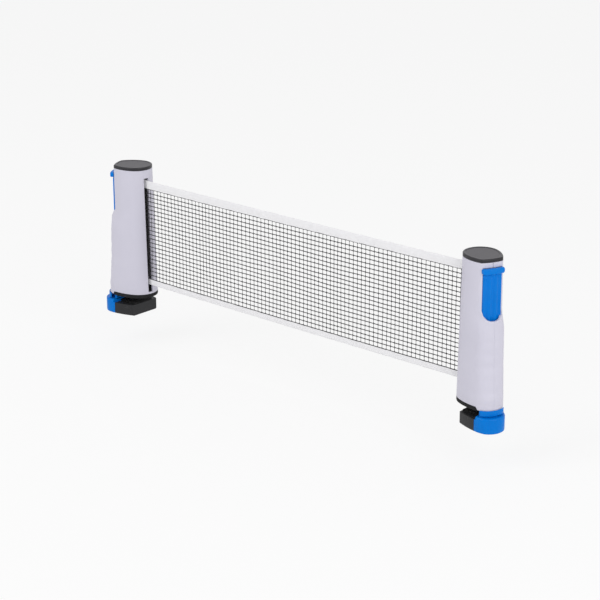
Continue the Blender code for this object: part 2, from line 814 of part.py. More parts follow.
def build_net_end(post):
    """The bar that the net's far end is sewn round, and the plates that hold it."""
    bar = rod(end_bar_radius, plate_low, plate_high + bearing_plate_thickness, -end_bar_inset, sides=16)
    add_mesh("net_end_bar", turned_to_net(bar), post, steel(), 40)
    for label, z0 in (("lower", plate_low), ("upper", plate_high)):
        z1 = z0 + bearing_plate_thickness
        plate_form = prism(cavity_outline(-fit_gap, plate_face), z0, z1)
        plate = add_mesh(f"{label}_bar_plate", plate_form, post, dark_plastic(), 35)
        hole = rod(end_bar_radius + fit_gap, z0 - cut_step, z1 + cut_step, -end_bar_inset, sides=16)
        boolean(plate, add_mesh(f"{label}_bar_hole", turned_to_net(hole), post))


def build_net():
    """Mesh and tapes, from the reel post's slot to the bar in the anchor post."""
    end = post_spacing - end_bar_inset - end_bar_radius - fit_gap
    length = end - net_start
    middle = (net_start + end) / 2
    low = net_bottom + tape_bottom_height + fit_gap
    high = net_top - tape_top_height - fit_gap
    bm = bmesh.new()
    bmesh.ops.create_grid(bm, x_segments=mesh_columns, y_segments=mesh_rows, size=1 / 2)
    bmesh.ops.scale(bm, vec=(length, high - low, 1), verts=bm.verts)
    bmesh.ops.rotate(bm, cent=(0, 0, 0), matrix=Matrix.Rotation(pi / 2, 3, "X"), verts=bm.verts)
    bmesh.ops.translate(bm, vec=(middle, 0, (low + high) / 2), verts=bm.verts)
    cells = list(bm.faces)
    bmesh.ops.inset_individual(bm, faces=cells, thickness=mesh_bar / 2)
    bmesh.ops.delete(bm, geom=cells, context="FACES")
    frame = empty("net_frame")
    mesh = add_mesh("net_mesh", bm, frame, net_cord())
    skin = mesh.modifiers.new("cord", "SOLIDIFY")
    skin.thickness = mesh_thickness
    skin.offset = 0
    half = tape_thickness / 2
    for name, z0, z1 in (("net_top_tape", net_top - tape_top_height, net_top),
                         ("net_bottom_tape", net_bottom, net_bottom + tape_bottom_height)):
        add_mesh(name, box(net_start, end, -half, half, z0, z1), frame, tape_cloth())


def build():
    reel_post = empty("reel_post_axis", (0, 0, 0), face_turn, mirrored=True)
    anchor_post = empty("anchor_post_axis", (post_spacing, 0, 0), -face_turn)
    build_post("anchor", anchor_post)
    mirror_post(anchor_post, reel_post)
    build_reel(reel_post)
    build_net_end(anchor_post)
    build_net()


clear_scene()
collection = new_collection("table_tennis_net")
cutters = new_collection("cutters")
build()
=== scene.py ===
import json
from math import asin, cos, pi, radians, sin, sqrt
import bmesh
import bpy
from mathutils import Matrix, Vector
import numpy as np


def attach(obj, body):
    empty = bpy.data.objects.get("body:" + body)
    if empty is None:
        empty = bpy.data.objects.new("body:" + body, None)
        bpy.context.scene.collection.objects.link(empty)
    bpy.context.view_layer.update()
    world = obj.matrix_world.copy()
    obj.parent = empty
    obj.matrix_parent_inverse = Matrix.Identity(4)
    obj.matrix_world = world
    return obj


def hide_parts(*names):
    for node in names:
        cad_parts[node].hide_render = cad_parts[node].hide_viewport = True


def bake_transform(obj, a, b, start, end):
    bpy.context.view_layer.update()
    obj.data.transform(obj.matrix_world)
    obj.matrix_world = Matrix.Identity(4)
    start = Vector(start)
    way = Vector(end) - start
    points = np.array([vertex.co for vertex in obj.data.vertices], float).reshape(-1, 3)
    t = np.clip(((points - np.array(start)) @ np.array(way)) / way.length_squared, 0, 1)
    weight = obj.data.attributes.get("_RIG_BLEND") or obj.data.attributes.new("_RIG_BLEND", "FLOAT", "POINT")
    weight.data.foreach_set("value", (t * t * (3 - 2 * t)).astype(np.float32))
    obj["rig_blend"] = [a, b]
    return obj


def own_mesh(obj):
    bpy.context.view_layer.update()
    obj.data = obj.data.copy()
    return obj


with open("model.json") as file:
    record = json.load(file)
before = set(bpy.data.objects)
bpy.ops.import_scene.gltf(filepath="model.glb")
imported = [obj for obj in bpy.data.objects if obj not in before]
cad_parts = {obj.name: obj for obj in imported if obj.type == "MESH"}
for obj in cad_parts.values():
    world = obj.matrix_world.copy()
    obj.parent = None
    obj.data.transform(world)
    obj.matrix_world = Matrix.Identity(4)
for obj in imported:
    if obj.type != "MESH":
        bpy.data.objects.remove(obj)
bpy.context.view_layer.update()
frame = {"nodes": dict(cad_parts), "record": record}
print("frame loaded:", len(frame["nodes"]), "nodes")

sideNames = ("reel", "anchor")


class Wire:
    # a socket that can be added, subtracted, multiplied and divided
    def __init__(self, tree, socket):
        self.tree = tree
        self.socket = socket

    def maths(self, operation, *values):
        made = self.tree.nodes.new("ShaderNodeMath")
        made.operation = operation
        for place, value in zip(made.inputs, values):
            connect(self.tree, place, value)
        return Wire(self.tree, made.outputs[0])

    def __add__(self, other):
        return self.maths("ADD", self, other)

    def __radd__(self, other):
        return self.maths("ADD", other, self)

    def __sub__(self, other):
        return self.maths("SUBTRACT", self, other)

    def __rsub__(self, other):
        return self.maths("SUBTRACT", other, self)

    def __mul__(self, other):
        return self.maths("MULTIPLY", self, other)

    def __rmul__(self, other):
        return self.maths("MULTIPLY", other, self)

    def clamped(self):
        return self.maths("MINIMUM", self.maths("MAXIMUM", self, 0.0), 1.0)

    def sine(self):
        return self.maths("SINE", self)


def connect(tree, place, value):
    if isinstance(value, Wire):
        tree.links.new(value.socket, place)
    else:
        place.default_value = value


class Network:
    # the nodes of a material or of the world
    def __init__(self, tree):
        self.tree = tree

    def node(self, kind, settings, sockets, output=0):
        made = self.tree.nodes.new(kind)
        for key, value in settings.items():
            setattr(made, key, value)
        for key, value in sockets.items():
            connect(self.tree, made.inputs[key], value)
        return Wire(self.tree, made.outputs[output])

    def lightPath(self):
        # 1 for the rays that show the backdrop
        seen = self.node("ShaderNodeLightPath", {}, {}, "Is Camera Ray")
        glossy = self.node("ShaderNodeLightPath", {}, {}, "Is Glossy Ray")
        through = self.node("ShaderNodeLightPath", {}, {}, "Is Transmission Ray")
        return (seen + glossy + through).clamped()

    def mixShader(self, factor, first, second, outputName):
        both = self.node("ShaderNodeMixShader", {}, {0: factor, 1: first, 2: second})
        self.tree.links.new(both.socket, self.tree.nodes[outputName].inputs["Surface"])


class Finish(Network):
    # a material under construction
    def __init__(self, name):
        self.material = bpy.data.materials.new(name)
        self.material.use_nodes = True
        super().__init__(self.material.node_tree)
        self.shader = self.tree.nodes["Principled BSDF"]

    def place(self, stretch=(1, 1, 1)):
        coordinates = self.node("ShaderNodeTexCoord", {}, {}, "Object")
        if stretch == (1, 1, 1):
            return coordinates
        return self.node("ShaderNodeMapping", {}, {"Vector": coordinates, "Scale": stretch})

    def noise(self, scale, detail=3.0, rough=0.55, stretch=(1, 1, 1)):
        sockets = {"Vector": self.place(stretch), "Scale": scale, "Detail": detail, "Roughness": rough}
        return self.node("ShaderNodeTexNoise", {}, sockets, "Fac")

    def axis(self, name):
        return self.node("ShaderNodeSeparateXYZ", {}, {"Vector": self.place()}, name)

    def mix(self, factor, a, b):
        first = a if isinstance(a, Wire) else (*a, 1)
        second = b if isinstance(b, Wire) else (*b, 1)
        return self.node("ShaderNodeMix", {"data_type": "RGBA"}, {0: factor, 6: first, 7: second}, 2)

    def bump(self, height, strength, distance):
        sockets = {"Height": height, "Strength": strength, "Distance": distance}
        return self.node("ShaderNodeBump", {}, sockets, "Normal")

    def done(self, **values):
        for key, value in values.items():
            connect(self.tree, self.shader.inputs[key.replace("_", " ")], value)
        return self.material


def housingPlastic():
    # pale lilac-grey moulding with a fine spark-eroded grain, faint sink and handling marks, and painted
    # shade darkening it towards the bottom
    look = {"pale": (0.640, 0.625, 0.718), "deep": (0.590, 0.575, 0.673), "paintedShade": (0.47, 0.45, 0.51)}
    f = Finish("housingPlastic")
    cloud = f.noise(28, 2.0)
    fine = f.noise(900, 2.0)
    grain = f.noise(2600, 2.0, 0.6)
    height = f.axis("Z")
    # painted shade: the housing turns darker in patches over its lowest 14 mm
    low = ((0.014 - height) * 60).clamped() * f.noise(140, 4.0)
    colour = f.mix(cloud, look["pale"], look["deep"])
    colour = f.mix((low * 0.45).clamped(), colour, look["paintedShade"])
    scuff = ((f.noise(60, 5.0, 0.7, (1, 1, 0.15)) - 0.62) * 6).clamped()
    rough = 0.40 + fine * 0.07 + scuff * 0.10
    return f.done(Base_Color=colour, Roughness=rough, Normal=f.bump(grain * 0.7 + fine * 0.3, 0.10, 0.0002))


def capPlastic():
    # black satin plastic with a painted sheen that makes its upward-facing top paler; the top is also rubbed
    # finer in its roughness
    look = {"black": (0.022, 0.021, 0.025), "paleTone": (0.092, 0.088, 0.098)}
    f = Finish("capPlastic")
    normal = f.node("ShaderNodeNewGeometry", {}, {}, "Normal")
    up = f.node("ShaderNodeSeparateXYZ", {}, {"Vector": normal}, "Z")
    # painted sheen: faces turned upward get the paler colour, in cloudy patches
    top = ((up - 0.93) * 16).clamped()
    cloud = f.noise(70, 4.0)
    grain = f.noise(2200, 2.0, 0.6)
    colour = f.mix((top * (0.62 + cloud * 0.55)).clamped(), look["black"], look["paleTone"])
    scratches = ((f.noise(220, 3.0, 0.6, (1, 0.12, 1)) - 0.60) * 7).clamped()
    rough = 0.30 + top * 0.14 + cloud * 0.08 + scratches * 0.06
    return f.done(Base_Color=colour, Roughness=rough, Normal=f.bump(grain + scratches * 0.4, 0.14, 0.00018),
                  Specular_IOR_Level=0.30)


def sliderPlastic():
    # bright blue, smooth and slightly glossy, paler where thumbs rub
    look = {"blue": (0.000, 0.200, 0.700), "deep": (0.000, 0.160, 0.585), "paleTone": (0.015, 0.245, 0.750)}
    f = Finish("sliderPlastic")
    cloud = f.noise(90, 3.0)
    fine = f.noise(1300, 2.0)
    height = f.axis("Z")
    thumb = (((height - 0.120) * 40).clamped() * ((cloud - 0.40) * 3).clamped())
    colour = f.mix(cloud, look["blue"], look["deep"])
    colour = f.mix(thumb * 0.35, colour, look["paleTone"])
    rough = 0.27 + fine * 0.08 + thumb * 0.10
    return f.done(Base_Color=colour, Roughness=rough, Normal=f.bump(fine, 0.05, 0.0002),
                  Specular_IOR_Level=0.10)


def padRubber():
    look = {"black": (0.011, 0.011, 0.012), "dust": (0.050, 0.048, 0.047)}
    f = Finish("padRubber")
    dust = ((f.noise(160, 5.0, 0.65) - 0.52) * 5).clamped()
    grain = f.noise(1500, 3.0, 0.7)
    ribs = (f.axis("Y") * 3140).sine()
    colour = f.mix(dust * 0.5, look["black"], look["dust"])
    return f.done(Base_Color=colour, Roughness=0.72 + grain * 0.15,
                  Normal=f.bump(grain * 0.6 + ribs * 0.12, 0.30, 0.0003), Specular_IOR_Level=0.22)


def darkPlastic():
    look = {"dark": (0.019, 0.019, 0.021), "worn": (0.060, 0.059, 0.060)}
    f = Finish("darkPlastic")
    worn = ((f.noise(110, 5.0, 0.7) - 0.58) * 5).clamped()
    grain = f.noise(1700, 3.0, 0.65)
    return f.done(Base_Color=f.mix(worn * 0.5, look["dark"], look["worn"]), Roughness=0.44 + grain * 0.16,
                  Normal=f.bump(grain, 0.18, 0.0002), Specular_IOR_Level=0.28)


def steelMetal():
    look = {"bright": (0.60, 0.61, 0.63), "dull": (0.42, 0.42, 0.43)}
    f = Finish("steelMetal")
    drawn = f.noise(700, 3.0, 0.6, (1, 1, 0.05))
    stain = ((f.noise(120, 4.0) - 0.55) * 5).clamped()
    return f.done(Base_Color=f.mix(stain, look["bright"], look["dull"]), Metallic=1.0 - stain * 0.1,
                  Roughness=0.24 + drawn * 0.16 + stain * 0.12, Normal=f.bump(drawn, 0.12, 0.0001))


def netCordFabric():
    # twisted black cord, its strands running slantwise
    look = {"black": (0.016, 0.016, 0.018), "fuzz": (0.052, 0.050, 0.052)}
    f = Finish("netCordFabric")
    twist = ((f.axis("X") + f.axis("Z")) * 9000).sine()
    fuzz = f.noise(1800, 3.0, 0.7)
    colour = f.mix(((fuzz - 0.45) * 2).clamped(), look["black"], look["fuzz"])
    return f.done(Base_Color=colour, Roughness=0.78 + fuzz * 0.12,
                  Normal=f.bump(twist * 0.5 + fuzz, 0.5, 0.0002), Sheen_Weight=0.2, Sheen_Roughness=0.5)


def tapeFabric():
    # white plain-woven tape, folded over the net's edge, with two rows of stitches along it
    look = {"white": (0.925, 0.920, 0.935), "shade": (0.775, 0.770, 0.805), "thread": (0.945, 0.940, 0.955)}
    f = Finish("tapeFabric")
    along = f.axis("X")
    up = f.axis("Z")
    warp = (along * 6300).sine()
    weft = (up * 7900).sine()
    weave = warp * weft
    dirt = f.noise(45, 4.0)
    stitchRow = ((up * 1570).sine() - 0.80) * 5
    stitch = stitchRow.clamped() * ((along * 2100).sine() * 2).clamped()
    colour = f.mix((weave * 0.20 + dirt * 0.45).clamped(), look["white"], look["shade"])
    colour = f.mix(stitch * 0.6, colour, look["thread"])
    return f.done(Base_Color=colour, Roughness=0.82 + dirt * 0.08,
                  Normal=f.bump(weave * 0.5 + stitch * 0.8, 0.45, 0.0003), Sheen_Weight=0.15)


finishes = {
    "shell_plastic": housingPlastic(),
    "cap_plastic": capPlastic(),
    "slider_plastic": sliderPlastic(),
    "pad_rubber": padRubber(),
    "dark_plastic": darkPlastic(),
    "steel": steelMetal(),
    "net_cord": netCordFabric(),
    "tape_cloth": tapeFabric(),
}
print("finishes made:", len(finishes))


# each post has a frame of its own: u outward from its axis through the middle of the grip face, y beside it
post = {
    "spacing": 0.540,
    "faceTurn": radians(25),
    "height": 0.168,
    "backCentre": -0.003,
    "backRadius": 0.020,
    "cornerX": 0.0216,
    "cornerY": 0.0126,
    "bulge": 0.0018,
    "cornerRound": 0.0016,
    "baseCornerRound": 0.0050,
    "baseGrowth": 0.0028,
    "baseCornerGrowth": 0.0008,
    "capBottom": 0.1642,
    "gap": 0.0003,
    "tableEdge": 0.0165,
}


def toWorld(side, u, y, z):
    c, s = cos(post["faceTurn"]), sin(post["faceTurn"])
    across, along = u * c + y * s, y * c - u * s
    if side == "anchor":
        return Vector((post["spacing"] + across, along, z))
    return Vector((-across, along, z))


def arcPoints(centre, radius, start, end, steps):
    return [
        Vector((centre[0] + radius * cos(start + (end - start) * i / steps),
                centre[1] + radius * sin(start + (end - start) * i / steps)))
        for i in range(steps + 1)
    ]


def softCorner(before, corner, after, steps):
    made = []
    for i in range(steps + 1):
        t = i / steps
        made.append((1 - t) ** 2 * before + 2 * t * (1 - t) * corner + t ** 2 * after)
    return made


def postPlan(grow, faceX, faceY, bulge=post["bulge"], rounding=post["cornerRound"], fine=1):
    # the closed outline: a curved face, two corners, two flatter cheeks and a round inner side
    backCentre = post["backCentre"]
    radius = post["backRadius"] + grow
    run, drop = faceX - backCentre, radius - faceY
    cheekRadius = (run ** 2 + drop ** 2) / (2 * drop)
    cheekEnd = asin(run / cheekRadius) - rounding / cheekRadius
    bulgeRadius = (faceY ** 2 + bulge ** 2) / (2 * bulge)
    faceEnd = asin(faceY / bulgeRadius) - rounding / bulgeRadius
    face = arcPoints((faceX + bulge - bulgeRadius, 0), bulgeRadius, 0, faceEnd, 10 * fine)
    cheek = arcPoints((backCentre, radius - cheekRadius), cheekRadius, pi / 2 - cheekEnd, pi / 2, 10 * fine)
    back = arcPoints((backCentre, 0), radius, pi / 2, pi, 16 * fine)
    corner = softCorner(face[-1], Vector((faceX, faceY)), cheek[0], 6 * fine)
    half = face[:-1] + corner + cheek[1:] + back[1:]
    return half + [Vector((p.x, -p.y)) for p in reversed(half[1:-1])]


grip = {
    "profile": ((0.0, 0.0120), (0.012, 0.0116), (0.030, 0.0100),
                (0.052, 0.0084), (0.070, 0.0080), (0.105, 0.0066)),
    "cornerShare": 0.62,
    "cornerFade": 0.024,
    "top": 0.1114,
    "step": 0.0028,
    "sideGrowth": 0.0012,
    "wavePitch": 0.0143,
    "waveDepth": 0.00025,
    "waveCrest": 0.071,
    "waveEnd": 0.088,
    "waveFade": 0.010,
}


def eased(t):
    t = min(max(t, 0.0), 1.0)
    return t * t * (3 - 2 * t)


def standOut(z):
    # how far the grip stands out past the window's face: its middle, and its corners
    knots = grip["profile"]
    low, high = knots[0], knots[-1]
    for a, b in zip(knots, knots[1:]):
        if a[0] <= z <= b[0]:
            low, high = a, b
    out = low[1] + (high[1] - low[1]) * eased((z - low[0]) / (high[0] - low[0]))
    fadeWave = eased((grip["waveEnd"] - z) / grip["waveFade"])
    out += grip["waveDepth"] * cos(2 * pi * (z - grip["waveCrest"]) / grip["wavePitch"]) * fadeWave
    middle = out * min(max((grip["top"] - z) / grip["step"], 0), 1)
    return middle, out * grip["cornerShare"] * eased((grip["top"] - z) / grip["cornerFade"])


def housingPlan(z, extra=0.0, fine=1):
    taper = 1 - z / post["capBottom"]
    middle, corner = standOut(z)
    fullCorner = grip["profile"][-1][1] * grip["cornerShare"]
    side = grip["sideGrowth"] * min(corner / fullCorner, 1)
    rounding = post["cornerRound"] + (post["baseCornerRound"] - post["cornerRound"]) * taper
    return postPlan(post["baseGrowth"] * taper + extra, post["cornerX"] + corner + extra,
                    post["cornerY"] + side + post["baseCornerGrowth"] * taper + extra,
                    post["bulge"] + middle - corner, rounding, fine)


def meshObject(name, bm):
    mesh = bpy.data.meshes.new(name)
    bm.to_mesh(mesh)
    bm.free()
    made = bpy.data.objects.new(name, mesh)
    bpy.context.scene.collection.objects.link(made)
    return made


def makePiece(name, bm, body, slotName, stands, smooth):
    bmesh.ops.recalc_face_normals(bm, faces=bm.faces)
    made = meshObject(name, bm)
    mesh = made.data
    mesh.materials.append(finishes[slotName])
    if smooth:
        mesh.shade_smooth()
        mesh.set_sharp_from_angle(angle=radians(smooth))
    if body:
        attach(made, body)
    if stands:
        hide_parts(*stands)
    return made


def addLoft(bm, rings, closed=True, caps=True):
    rows = [[bm.verts.new(p) for p in ring] for ring in rings]
    count = len(rings[0])
    for low, high in zip(rows, rows[1:]):
        for i in range(count if closed else count - 1):
            j = (i + 1) % count
            bm.faces.new((low[i], low[j], high[j], high[i]))
    if caps:
        bm.faces.new(list(reversed(rows[0])))
        bm.faces.new(rows[-1])
    return rows


def cutAway(bm, point, normal):
    # removes what lies on the normal's side of a plane and closes the cut
    geometry = list(bm.verts) + list(bm.edges) + list(bm.faces)
    cut = bmesh.ops.bisect_plane(bm, geom=geometry, plane_co=point, plane_no=normal,
                                 clear_outer=True, dist=1e-7)
    edges = [e for e in cut["geom_cut"] if isinstance(e, bmesh.types.BMEdge)]
    bmesh.ops.holes_fill(bm, edges=edges, sides=0)


def alongNet(side):
    # where a post's axis stands on the net's line, and which way is outward there
    return (post["spacing"], 1) if side == "anchor" else (0, -1)


def cutAcross(bm, side, far, dropOutside):
    # cuts square to the net's line, at a distance from the post's axis
    base, way = alongNet(side)
    cutAway(bm, (base + way * far, 0, 0), (way if dropOutside else -way, 0, 0))


def thicken(piece, thickness, offset, even):
    made = piece.modifiers.new("wall", "SOLIDIFY")
    made.thickness = thickness
    made.offset = offset
    made.use_even_offset = even


def softenEdges(piece, width, angle):
    made = piece.modifiers.new("edges", "BEVEL")
    made.width = width
    made.segments = 2
    made.limit_method = "ANGLE"
    made.angle_limit = radians(angle)


def roundedRing(side, plans, levels):
    # rings for a loft, each from a plan at a height
    return [[toWorld(side, p.x, p.y, z) for p in plan] for plan, z in zip(plans, levels)]


def mergeInto(target, source):
    mesh = bpy.data.meshes.new("part")
    source.to_mesh(mesh)
    source.free()
    target.from_mesh(mesh)
    bpy.data.meshes.remove(mesh)


def edgeCurve(inset, height, steps):
    # a quarter round: pairs of inset and height, from the side to the face
    angles = [pi / 2 * i / steps for i in range(steps + 1)]
    return [(inset * (1 - cos(a)), height * sin(a)) for a in angles]


shell = {
    "skirt": 0.0014,
    "underside": 0.0048,
    "windowBottom": 0.1005,
    "windowRise": 0.0100,
    "windowSquareness": 0.85,
    "windowHalf": 0.0113,
    "windowTop": 0.1584,
    "slotNear": 0.0042,
    "slotFar": 0.0028,
    "slotBottom": 0.0080,
    "slotTop": 0.1552,
    "wall": 0.0024,
    "seamGap": 0.00006,
    "topSeamGap": 0.00030,
    "edge": 0.00045,
    "edgeAngle": 50,
    "underEase": 0.001,
    "cornerLean": 1.4,
}

# columns of points along each stretch of a shell, from the middle of the face round to the slot
columnSteps = {"window": 16, "near": 2, "corner": 8, "cheek": 44, "backCheek": 60,
               "cornerHalf": 0.0028, "least": 0.0002}


def windowEdge(y):
    c = min(abs(y) / shell["windowHalf"], 1.0) ** (1 / shell["windowSquareness"])
    s = sqrt(max(1 - c * c, 0.0)) ** shell["windowSquareness"]
    return shell["windowBottom"] + shell["windowRise"] * (1 - s)


class Outline:
    # the housing's outline at one height, by distance along it from the middle of the face
    def __init__(self, z):
        self.points = housingPlan(z, fine=2)
        self.points.append(self.points[0])
        self.far = [0.0]
        for a, b in zip(self.points, self.points[1:]):
            self.far.append(self.far[-1] + (b - a).length)
        self.length = self.far[-1]

    def at(self, s):
        s = min(max(s, 0.0), self.length)
        low, high = 0, len(self.far) - 1
        while high - low > 1:
            middle = (low + high) // 2
            if self.far[middle] <= s:
                low = middle
            else:
                high = middle
        t = (s - self.far[low]) / (self.far[high] - self.far[low])
        return self.points[low].lerp(self.points[high], t)

    def crossing(self, measure, start, end):
        # where a measure of the point changes sign between two points of the list
        for i in range(start, end):
            a, b = measure(self.points[i]), measure(self.points[i + 1])
            if a <= 0 < b or b <= 0 < a:
                t = a / (a - b)
                return self.far[i] + (self.far[i + 1] - self.far[i]) * t
        raise ValueError("no crossing")


def outlineKeys(z):
    # distances along the outline of the window's sides, the corners and the net's slot
    o = Outline(z)
    count = len(o.points) - 1
    half = count // 2
    quarter = half // 2
    windowSide = o.crossing(lambda p: p.y - shell["windowHalf"], 0, quarter)
    way = Vector((-cos(post["faceTurn"]), -sin(post["faceTurn"])))
    across = Vector((-way.y, way.x))
    slot = [o.crossing(lambda p: p.dot(across) - off, half, half + quarter)
            for off in (-shell["slotFar"], 0.0, shell["slotNear"])]
    slot.sort()
    corner = max(range(quarter), key=lambda i: o.points[i].x + shell["cornerLean"] * o.points[i].y)
    return o, windowSide, o.far[corner], slot


def columnsFor(keys, back):
    o, windowSide, corner, slot = keys
    spread = columnSteps["cornerHalf"]

    def between(a, b, steps):
        return [a + (b - a) * i / steps for i in range(steps)]

    near = max(corner - spread, windowSide + columnSteps["least"])
    half = (between(0.0, windowSide, columnSteps["window"]) + between(windowSide, near, columnSteps["near"])
            + between(near, corner + spread, columnSteps["corner"]))
    if back:
        seam, edge = slot[1], slot[0]
        return half + between(corner + spread, edge, columnSteps["backCheek"]) + [edge, seam]
    mirrored = [o.length - s for s in half]
    seam, edge = slot[1], slot[2]
    return mirrored + between(o.length - corner - spread, edge, columnSteps["cheek"]) + [edge, seam]


def shellHeights():
    # shares of the height below the window, beside it and above it
    low = [0, 0.02, 0.05] + [0.05 + 0.95 * i / 40 for i in range(1, 41)]
    window = [0.02, 0.05, 0.09, 0.14, 0.2, 0.3, 0.4, 0.5, 0.6, 0.7, 0.8, 0.9, 0.97, 1.0]
    top = [0.3, 0.65, 1.0]
    return low, window, top


def shellRows(y, bottom):
    # heights up one column, bending round the window's lower edge
    low, window, top = shellHeights()
    edge = windowEdge(y)
    capSeat = post["capBottom"] - post["gap"]
    rows = [bottom + (edge - bottom) * t for t in low]
    rows += [edge + (shell["windowTop"] - edge) * t for t in window]
    rows += [shell["windowTop"] + (capSeat - shell["windowTop"]) * t for t in top]
    return rows, len(low) - 1, len(low) + len(window) - 1


def tableSide(p):
    # how far a point lies beyond the table's edge
    c, s = cos(post["faceTurn"]), sin(post["faceTurn"])
    return p.x * c + p.y * s - post["tableEdge"]


keyCache = {}


def keysAt(z):
    z = round(z, 5)
    if z not in keyCache:
        keyCache[z] = outlineKeys(z)
    return keyCache[z]


def buildShell(side, back):
    name = side + ("BackShell" if back else "FrontShell")
    bm = bmesh.new()
    topKeys, baseKeys = keysAt(shell["windowTop"]), keysAt(shell["underside"])
    topColumns, baseColumns = columnsFor(topKeys, back), columnsFor(baseKeys, back)
    grid = []
    lowRow = highRow = 0
    for column, far in enumerate(topColumns):
        overFace = column <= columnSteps["window"] + columnSteps["near"]
        y = topKeys[0].at(far).y if overFace else shell["windowHalf"]
        base = baseKeys[0].at(baseColumns[column])
        drop = eased((tableSide(base) + shell["underEase"]) / (2 * shell["underEase"]))
        bottom = shell["underside"] + (shell["skirt"] - shell["underside"]) * drop
        heights, lowRow, highRow = shellRows(y, bottom)
        line = []
        for z in heights:
            keys = keysAt(z)
            p = keys[0].at(columnsFor(keys, back)[column])
            if column == 0:
                gap = shell["topSeamGap"] if z > shell["windowTop"] - 0.0001 else shell["seamGap"]
                p = Vector((p.x, gap if back else -gap))
            line.append(bm.verts.new(toWorld(side, p.x, p.y, z)))
        grid.append(line)
    slotColumn = len(topColumns) - 2
    for i, (a, b) in enumerate(zip(grid, grid[1:])):
        for k in range(len(a) - 1):
            middle = (a[k].co.z + a[k + 1].co.z) / 2
            if i < columnSteps["window"] and lowRow <= k < highRow:
                continue
            if i == slotColumn and shell["slotBottom"] < middle < shell["slotTop"]:
                continue
            bm.faces.new((a[k], b[k], b[k + 1], a[k + 1]))
    loose = [v for v in bm.verts if not v.link_faces]
    bmesh.ops.delete(bm, geom=loose, context="VERTS")
    made = makePiece(name, bm, side + "_post", "shell_plastic",
                     (f"{side}_{'back' if back else 'front'}_shell",), 0)
    outward = made.data.polygons[len(made.data.polygons) // 2]
    axis = toWorld(side, post["backCentre"], 0, outward.center.z)
    if outward.normal.dot(outward.center - axis) < 0:
        made.data.flip_normals()
    thicken(made, shell["wall"], -1, True)
    softenEdges(made, shell["edge"], shell["edgeAngle"])
    made.data.shade_smooth()
    made.data.set_sharp_from_angle(angle=radians(shell["edgeAngle"]))


channel = {"half": 0.0112, "back": 0.0145, "front": 0.0200, "corner": 0.0008, "wall": 0.0014,
           "levels": (0.0130, 0.060, 0.110, 0.1586)}


def buildChannel(side):
    # the trough behind the window that the slider runs in
    bm = bmesh.new()
    half, back, front, corner = channel["half"], channel["back"], channel["front"], channel["corner"]
    line = [(front, half), (back + corner, half), (back, half - corner), (back, -half + corner),
            (back + corner, -half), (front, -half)]
    rings = [[toWorld(side, u, y, z) for u, y in line] for z in channel["levels"]]
    rows = addLoft(bm, rings, closed=False, caps=False)
    bm.faces.new(rows[-1])
    made = makePiece(side + "Channel", bm, side + "_post", "shell_plastic", (), 40)
    thicken(made, channel["wall"], 1, False)


# "under" and "inner" are pairs: how far in, from the side or the rim, and how high
cap = {
    "rim": 0.0026,
    "edge": 0.0013,
    "edgeHeight": 0.00104,
    "under": ((0.00035, 0.0), (0.0001, 0.00012), (0.0, 0.0004)),
    "inner": ((-0.0003, 0.0), (0.0, -0.00008), (0.00022, -0.0004), (0.0005, -0.0005), (0.0020, -0.0005)),
}


def buildCap(side):
    # rounded outer edge, a raised rim and a slightly sunk flat middle
    bm = bmesh.new()
    top, bottom = post["height"], post["capBottom"]
    steps = [(inset, bottom + rise) for inset, rise in cap["under"]]
    for inset, rise in edgeCurve(cap["edge"], cap["edgeHeight"], 5):
        steps.append((inset, top - cap["edgeHeight"] + rise))
    steps += [(cap["rim"] + inset, top + rise) for inset, rise in cap["inner"]]
    plans = [postPlan(-i, post["cornerX"] - i, post["cornerY"] - i) for i, z in steps]
    addLoft(bm, roundedRing(side, plans, [z for i, z in steps]))
    makePiece(side + "TopCap", bm, side + "_post", "cap_plastic", (side + "_top_cap",), 50)


pad = {"thickness": 0.0045, "edge": 0.0005, "edgeShare": 0.3, "limit": 0.0160}


def buildPad(side):
    bm = bmesh.new()
    edge, top = pad["edge"], pad["thickness"]
    part = edge * pad["edgeShare"]
    steps = [(edge, 0.0), (part, part), (0.0, edge), (0.0, top - edge), (part, top - part), (edge, top)]
    plans = [housingPlan(shell["underside"], -i) for i, z in steps]
    addLoft(bm, roundedRing(side, plans, [z for i, z in steps]))
    cutAcross(bm, side, pad["limit"], True)
    makePiece(side + "BasePad", bm, side + "_post", "pad_rubber", (side + "_base_pad",), 40)


slider = {
    "half": 0.0108, "apex": 0.0254, "curve": 0.041, "fluteDepth": 0.0013, "flutes": 3,
    "wall": 0.0018, "back": 0.0150, "bottom": -0.0040, "top": 0.1512, "cutHeight": 0.046,
    "lipLow": 0.1522, "lipHigh": 0.1582, "lipHalf": 0.0129, "lipNear": 0.0239, "lipFar": 0.0286,
    "lipRound": 0.0011, "lipInnerRound": 0.0005, "lipEnd": 0.0016, "lipLeast": 0.08, "lipKeep": 0.6,
    "edgeShare": 0.07, "edgeRound": 0.0009, "innerDrop": 0.0004, "neckHalf": 0.0118,
    "neckApex": 0.0282, "neckTop": 0.0050,
    "levels": (0.08, 0.11),
    "topRound": ((0.0008, 0.0), (0.0003, 0.00015), (0.0, 0.0006)),
    "shelf": {"inset": 0.0010, "low": 0.003, "high": 0.0004},
    "web": {"inset": 0.0004, "drop": 0.0006, "low": 0.004, "high": 0.002},
}


def faceCurve(apex, y):
    return apex - slider["curve"] + sqrt(slider["curve"] ** 2 - y * y)


def faceLine(apex, half, steps=8):
    # points across the face, from one side to the other
    across = [half * (1 - i / steps) for i in range(2 * steps + 1)]
    return [Vector((faceCurve(apex, y), y)) for y in across]


def backLine(half):
    return [Vector((slider["back"], -half)), Vector((slider["back"], half))]


